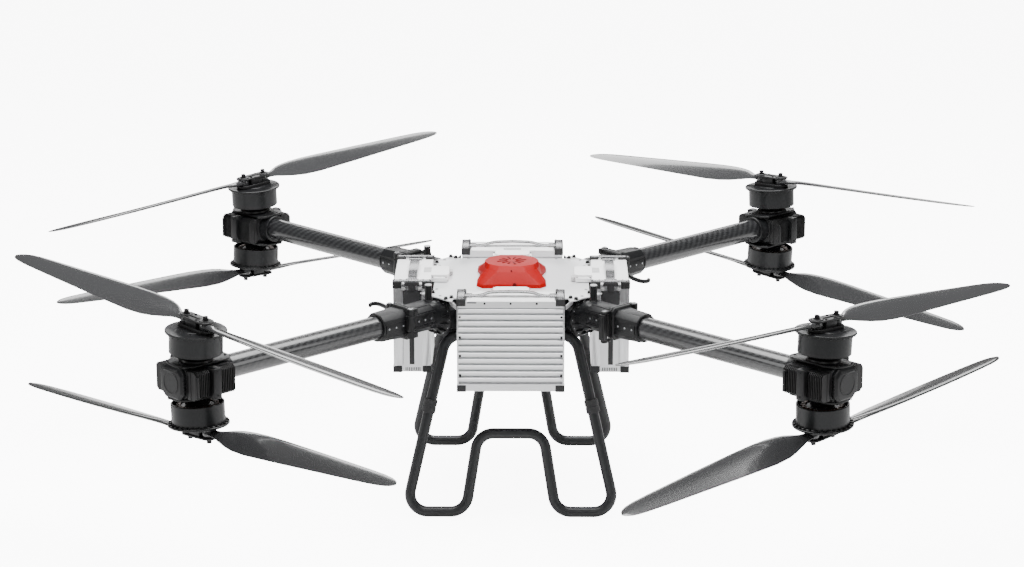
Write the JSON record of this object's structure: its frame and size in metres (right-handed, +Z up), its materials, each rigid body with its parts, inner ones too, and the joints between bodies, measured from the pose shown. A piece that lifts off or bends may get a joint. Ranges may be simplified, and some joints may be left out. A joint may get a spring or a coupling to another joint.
{
  "type": "agricultural spray drone",
  "caption": "Large folding-arm agricultural drone airframe with coaxial motors, clip-on batteries, faceted red cover and bent-tube landing gear.",
  "frame": {"origin": "ground point under the middle of the drone, level with the underside of the landing gear feet", "axes": "+X right, +Y to the back, +Z up, seen with the two nearer arms in front"},
  "size_m": [2.5664, 2.5388, 0.7022],
  "materials": {
    "hub_black": "satin",
    "silver_plate": "satin",
    "red_cover": "gloss",
    "electronics_case": "matte",
    "circuit_board": "matte",
    "gear_coating": "satin",
    "cast_black": "satin",
    "carbon_tube": "gloss",
    "motor_black": "satin",
    "lever_black": "satin",
    "blade_composite": "satin",
    "battery_case": "satin",
    "strap_metal": "satin"
  },
  "bodies": {
    "airframe": {"hub_frame": "hub_black", "top_plate": "silver_plate", "bottom_plate": "hub_black", "red_hood": "red_cover", "flight_controller": "electronics_case", "power_board": "circuit_board", "landing_gear_front": "gear_coating", "landing_gear_back": "gear_coating", "arm_root_front_left": "cast_black", "arm_root_front_right": "cast_black", "arm_root_back_left": "cast_black", "arm_root_back_right": "cast_black"},
    "arm_front_left": {"fold_sleeve_front_left": "cast_black", "arm_tube_front_left": "carbon_tube", "motor_pod_front_left": "motor_black"},
    "latch_front_left": {"latch_lever_front_left": "lever_black"},
    "rotor_upper_front_left": {"rotor_upper_front_left": "motor_black"},
    "blade_upper_a_front_left": {"blade_upper_a_front_left": "blade_composite"},
    "blade_upper_b_front_left": {"blade_upper_b_front_left": "blade_composite"},
    "rotor_lower_front_left": {"rotor_lower_front_left": "motor_black"},
    "blade_lower_a_front_left": {"blade_lower_a_front_left": "blade_composite"},
    "blade_lower_b_front_left": {"blade_lower_b_front_left": "blade_composite"},
    "arm_front_right": {"fold_sleeve_front_right": "cast_black", "arm_tube_front_right": "carbon_tube", "motor_pod_front_right": "motor_black"},
    "latch_front_right": {"latch_lever_front_right": "lever_black"},
    "rotor_upper_front_right": {"rotor_upper_front_right": "motor_black"},
    "blade_upper_a_front_right": {"blade_upper_a_front_right": "blade_composite"},
    "blade_upper_b_front_right": {"blade_upper_b_front_right": "blade_composite"},
    "rotor_lower_front_right": {"rotor_lower_front_right": "motor_black"},
    "blade_lower_a_front_right": {"blade_lower_a_front_right": "blade_composite"},
    "blade_lower_b_front_right": {"blade_lower_b_front_right": "blade_composite"},
    "arm_back_left": {"fold_sleeve_back_left": "cast_black", "arm_tube_back_left": "carbon_tube", "motor_pod_back_left": "motor_black"},
    "latch_back_left": {"latch_lever_back_left": "lever_black"},
    "rotor_upper_back_left": {"rotor_upper_back_left": "motor_black"},
    "blade_upper_a_back_left": {"blade_upper_a_back_left": "blade_composite"},
    "blade_upper_b_back_left": {"blade_upper_b_back_left": "blade_composite"},
    "rotor_lower_back_left": {"rotor_lower_back_left": "motor_black"},
    "blade_lower_a_back_left": {"blade_lower_a_back_left": "blade_composite"},
    "blade_lower_b_back_left": {"blade_lower_b_back_left": "blade_composite"},
    "arm_back_right": {"fold_sleeve_back_right": "cast_black", "arm_tube_back_right": "carbon_tube", "motor_pod_back_right": "motor_black"},
    "latch_back_right": {"latch_lever_back_right": "lever_black"},
    "rotor_upper_back_right": {"rotor_upper_back_right": "motor_black"},
    "blade_upper_a_back_right": {"blade_upper_a_back_right": "blade_composite"},
    "blade_upper_b_back_right": {"blade_upper_b_back_right": "blade_composite"},
    "rotor_lower_back_right": {"rotor_lower_back_right": "motor_black"},
    "blade_lower_a_back_right": {"blade_lower_a_back_right": "blade_composite"},
    "blade_lower_b_back_right": {"blade_lower_b_back_right": "blade_composite"},
    "battery_front": {"battery_front": "battery_case", "battery_handle_front": "strap_metal"},
    "battery_back": {"battery_back": "battery_case", "battery_handle_back": "strap_metal"},
    "battery_left": {"battery_left": "battery_case", "battery_handle_left": "strap_metal"},
    "battery_right": {"battery_right": "battery_case", "battery_handle_right": "strap_metal"}
  },
  "joints": [
    {"name": "arm_fold_front_left", "type": "hinge", "parent": "airframe", "child": "arm_front_left", "pos_m": [-0.25597, -0.3182, 0.529], "axis": [0, 0, 1], "range_deg": [0, 110]},
    {"name": "latch_swing_front_left", "type": "hinge", "parent": "airframe", "child": "latch_front_left", "pos_m": [-0.31395, -0.24042, 0.529], "axis": [0, 0, 1], "range_deg": [0, 105]},
    {"name": "rotor_spin_upper_front_left", "type": "hinge", "parent": "arm_front_left", "child": "rotor_upper_front_left", "pos_m": [-0.7566, -0.7566, 0.525], "axis": [0.037, -0.037, 0.9986], "continuous": true},
    {"name": "blade_fold_upper_a_front_left", "type": "hinge", "parent": "rotor_upper_front_left", "child": "blade_upper_a_front_left", "pos_m": [-0.72576, -0.78674, 0.65993], "axis": [0.037, -0.037, 0.9986], "range_deg": [-80, 80]},
    {"name": "blade_fold_upper_b_front_left", "type": "hinge", "parent": "rotor_upper_front_left", "child": "blade_upper_b_front_left", "pos_m": [-0.77731, -0.73661, 0.6637], "axis": [-0.037, 0.037, -0.9986], "range_deg": [-80, 80]},
    {"name": "rotor_spin_lower_front_left", "type": "hinge", "parent": "arm_front_left", "child": "rotor_lower_front_left", "pos_m": [-0.7566, -0.7566, 0.525], "axis": [-0.037, 0.037, 0.9986], "continuous": true},
    {"name": "blade_fold_lower_a_front_left", "type": "hinge", "parent": "rotor_lower_front_left", "child": "blade_lower_a_front_left", "pos_m": [-0.72576, -0.78674, 0.39007], "axis": [-0.037, 0.037, 0.9986], "range_deg": [-80, 80]},
    {"name": "blade_fold_lower_b_front_left", "type": "hinge", "parent": "rotor_lower_front_left", "child": "blade_lower_b_front_left", "pos_m": [-0.77731, -0.73661, 0.3863], "axis": [0.037, -0.037, -0.9986], "range_deg": [-80, 80]},
    {"name": "arm_fold_front_right", "type": "hinge", "parent": "airframe", "child": "arm_front_right", "pos_m": [0.3182, -0.25597, 0.529], "axis": [0, 0, 1], "range_deg": [0, 110]},
    {"name": "latch_swing_front_right", "type": "hinge", "parent": "airframe", "child": "latch_front_right", "pos_m": [0.24042, -0.31395, 0.529], "axis": [0, 0, 1], "range_deg": [-75, 0]},
    {"name": "rotor_spin_upper_front_right", "type": "hinge", "parent": "arm_front_right", "child": "rotor_upper_front_right", "pos_m": [0.7566, -0.7566, 0.525], "axis": [0.037, 0.037, 0.9986], "continuous": true},
    {"name": "blade_fold_upper_a_front_right", "type": "hinge", "parent": "rotor_upper_front_right", "child": "blade_upper_a_front_right", "pos_m": [0.78745, -0.72647, 0.65993], "axis": [0.037, 0.037, 0.9986], "range_deg": [-80, 80]},
    {"name": "blade_fold_upper_b_front_right", "type": "hinge", "parent": "rotor_upper_front_right", "child": "blade_upper_b_front_right", "pos_m": [0.7359, -0.7766, 0.6637], "axis": [-0.037, -0.037, -0.9986], "range_deg": [-80, 80]},
    {"name": "rotor_spin_lower_front_right", "type": "hinge", "parent": "arm_front_right", "child": "rotor_lower_front_right", "pos_m": [0.7566, -0.7566, 0.525], "axis": [-0.037, -0.037, 0.9986], "continuous": true},
    {"name": "blade_fold_lower_a_front_right", "type": "hinge", "parent": "rotor_lower_front_right", "child": "blade_lower_a_front_right", "pos_m": [0.78745, -0.72647, 0.39007], "axis": [-0.037, -0.037, 0.9986], "range_deg": [-80, 80]},
    {"name": "blade_fold_lower_b_front_right", "type": "hinge", "parent": "rotor_lower_front_right", "child": "blade_lower_b_front_right", "pos_m": [0.7359, -0.7766, 0.3863], "axis": [0.037, 0.037, -0.9986], "range_deg": [-80, 80]},
    {"name": "arm_fold_back_left", "type": "hinge", "parent": "airframe", "child": "arm_back_left", "pos_m": [-0.3182, 0.25597, 0.529], "axis": [0, 0, 1], "range_deg": [0, 110]},
    {"name": "latch_swing_back_left", "type": "hinge", "parent": "airframe", "child": "latch_back_left", "pos_m": [-0.24042, 0.31395, 0.529], "axis": [0, 0, 1], "range_deg": [-75, 0]},
    {"name": "rotor_spin_upper_back_left", "type": "hinge", "parent": "arm_back_left", "child": "rotor_upper_back_left", "pos_m": [-0.7566, 0.7566, 0.525], "axis": [-0.037, -0.037, 0.9986], "continuous": true},
    {"name": "blade_fold_upper_a_back_left", "type": "hinge", "parent": "rotor_upper_back_left", "child": "blade_upper_a_back_left", "pos_m": [-0.78745, 0.72647, 0.65993], "axis": [-0.037, -0.037, 0.9986], "range_deg": [-80, 80]},
    {"name": "blade_fold_upper_b_back_left", "type": "hinge", "parent": "rotor_upper_back_left", "child": "blade_upper_b_back_left", "pos_m": [-0.7359, 0.7766, 0.6637], "axis": [0.037, 0.037, -0.9986], "range_deg": [-80, 80]},
    {"name": "rotor_spin_lower_back_left", "type": "hinge", "parent": "arm_back_left", "child": "rotor_lower_back_left", "pos_m": [-0.7566, 0.7566, 0.525], "axis": [0.037, 0.037, 0.9986], "continuous": true},
    {"name": "blade_fold_lower_a_back_left", "type": "hinge", "parent": "rotor_lower_back_left", "child": "blade_lower_a_back_left", "pos_m": [-0.78745, 0.72647, 0.39007], "axis": [0.037, 0.037, 0.9986], "range_deg": [-80, 80]},
    {"name": "blade_fold_lower_b_back_left", "type": "hinge", "parent": "rotor_lower_back_left", "child": "blade_lower_b_back_left", "pos_m": [-0.7359, 0.7766, 0.3863], "axis": [-0.037, -0.037, -0.9986], "range_deg": [-80, 80]},
    {"name": "arm_fold_back_right", "type": "hinge", "parent": "airframe", "child": "arm_back_right", "pos_m": [0.25597, 0.3182, 0.529], "axis": [0, 0, 1], "range_deg": [0, 110]},
    {"name": "latch_swing_back_right", "type": "hinge", "parent": "airframe", "child": "latch_back_right", "pos_m": [0.31395, 0.24042, 0.529], "axis": [0, 0, 1], "range_deg": [0, 105]},
    {"name": "rotor_spin_upper_back_right", "type": "hinge", "parent": "arm_back_right", "child": "rotor_upper_back_right", "pos_m": [0.7566, 0.7566, 0.525], "axis": [-0.037, 0.037, 0.9986], "continuous": true},
    {"name": "blade_fold_upper_a_back_right", "type": "hinge", "parent": "rotor_upper_back_right", "child": "blade_upper_a_back_right", "pos_m": [0.72576, 0.78674, 0.65993], "axis": [-0.037, 0.037, 0.9986], "range_deg": [-80, 80]},
    {"name": "blade_fold_upper_b_back_right", "type": "hinge", "parent": "rotor_upper_back_right", "child": "blade_upper_b_back_right", "pos_m": [0.77731, 0.73661, 0.6637], "axis": [0.037, -0.037, -0.9986], "range_deg": [-80, 80]},
    {"name": "rotor_spin_lower_back_right", "type": "hinge", "parent": "arm_back_right", "child": "rotor_lower_back_right", "pos_m": [0.7566, 0.7566, 0.525], "axis": [0.037, -0.037, 0.9986], "continuous": true},
    {"name": "blade_fold_lower_a_back_right", "type": "hinge", "parent": "rotor_lower_back_right", "child": "blade_lower_a_back_right", "pos_m": [0.72576, 0.78674, 0.39007], "axis": [0.037, -0.037, 0.9986], "range_deg": [-80, 80]},
    {"name": "blade_fold_lower_b_back_right", "type": "hinge", "parent": "rotor_lower_back_right", "child": "blade_lower_b_back_right", "pos_m": [0.77731, 0.73661, 0.3863], "axis": [-0.037, 0.037, -0.9986], "range_deg": [-80, 80]},
    {"name": "battery_lift_front", "type": "slide", "parent": "airframe", "child": "battery_front", "axis": [0, 0, 1], "range_m": [0, 0.3]},
    {"name": "battery_lift_back", "type": "slide", "parent": "airframe", "child": "battery_back", "axis": [0, 0, 1], "range_m": [0, 0.3]},
    {"name": "battery_lift_left", "type": "slide", "parent": "airframe", "child": "battery_left", "axis": [0, 0, 1], "range_m": [0, 0.3]},
    {"name": "battery_lift_right", "type": "slide", "parent": "airframe", "child": "battery_right", "axis": [0, 0, 1], "range_m": [0, 0.3]}
  ]
}
